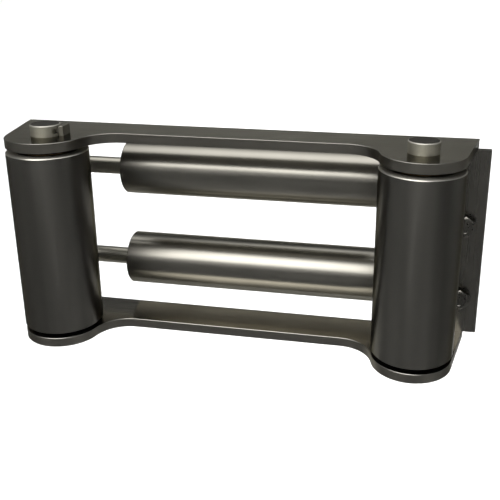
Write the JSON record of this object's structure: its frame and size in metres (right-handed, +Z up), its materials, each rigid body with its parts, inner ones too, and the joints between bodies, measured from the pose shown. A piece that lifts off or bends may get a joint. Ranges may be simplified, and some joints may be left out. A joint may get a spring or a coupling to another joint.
{
  "type": "roller_fairlead",
  "caption": "Roller fairlead: upright rollers on fixed pins between dog-bone plates, and cross rollers whose shafts turn in angle brackets with bolted mounting flanges.",
  "frame": {"origin": "centre of the four-bolt pattern on the back face of the two mounting flanges", "axes": "+X along the cross rollers to the right, +Y backwards out of the mounting face, +Z up"},
  "size_m": [0.338, 0.1093, 0.1614],
  "materials": {
    "plate_steel": "satin, fine level brushing, warm dark grey",
    "roller_steel": "satin turned steel, olive grey",
    "polished_steel": "bright, fine grain along the roller",
    "pin_steel": "ground bright steel",
    "spring_steel": "dark phosphated spring steel",
    "bolt_steel": "satin steel",
    "bronze": "turned bronze",
    "black_plastic": "black plain bearing plastic"
  },
  "bodies": {
    "frame": {"top_plate": "plate_steel", "bottom_plate": "plate_steel", "left_bracket": "plate_steel", "right_bracket": "plate_steel", "left_pin": "pin_steel", "right_pin": "pin_steel", "left_pin_keeper": "plate_steel", "right_pin_keeper": "plate_steel", "left_pin_washer": "pin_steel", "right_pin_washer": "pin_steel", "left_pin_ring": "spring_steel", "right_pin_ring": "spring_steel", "left_upper_thrust_washer": "black_plastic", "left_lower_thrust_washer": "black_plastic", "right_upper_thrust_washer": "black_plastic", "right_lower_thrust_washer": "black_plastic", "upper_left_shaft_bush": "bronze", "upper_right_shaft_bush": "bronze", "lower_left_shaft_bush": "bronze", "lower_right_shaft_bush": "bronze", "left_mounting_bolts": "bolt_steel", "right_mounting_bolts": "bolt_steel", "left_bolt_washers": "bolt_steel", "right_bolt_washers": "bolt_steel"},
    "left_roller": {"left_roller_tube": "roller_steel", "left_roller_upper_hub": "roller_steel", "left_roller_lower_hub": "roller_steel", "left_roller_upper_bush": "bronze", "left_roller_lower_bush": "bronze"},
    "right_roller": {"right_roller_tube": "roller_steel", "right_roller_upper_hub": "roller_steel", "right_roller_lower_hub": "roller_steel", "right_roller_upper_bush": "bronze", "right_roller_lower_bush": "bronze"},
    "upper_cross_roller": {"upper_cross_tube": "polished_steel", "upper_cross_left_plug": "roller_steel", "upper_cross_right_plug": "roller_steel", "upper_cross_shaft": "pin_steel", "upper_cross_washers": "pin_steel", "upper_cross_rings": "spring_steel"},
    "lower_cross_roller": {"lower_cross_tube": "polished_steel", "lower_cross_left_plug": "roller_steel", "lower_cross_right_plug": "roller_steel", "lower_cross_shaft": "pin_steel", "lower_cross_washers": "pin_steel", "lower_cross_rings": "spring_steel"}
  },
  "joints": [
    {"name": "left_roller_spin", "type": "hinge", "parent": "frame", "child": "left_roller", "pos_m": [-0.125, -0.044, 0.0124], "axis": [0, 0, 1], "continuous": true},
    {"name": "right_roller_spin", "type": "hinge", "parent": "frame", "child": "right_roller", "pos_m": [0.125, -0.044, 0.0124], "axis": [0, 0, 1], "continuous": true},
    {"name": "upper_cross_roller_spin", "type": "hinge", "parent": "frame", "child": "upper_cross_roller", "pos_m": [0, 0.0157, 0.049], "axis": [1, 0, 0], "continuous": true},
    {"name": "lower_cross_roller_spin", "type": "hinge", "parent": "frame", "child": "lower_cross_roller", "pos_m": [0, 0.0157, -0.0242], "axis": [1, 0, 0], "continuous": true}
  ]
}
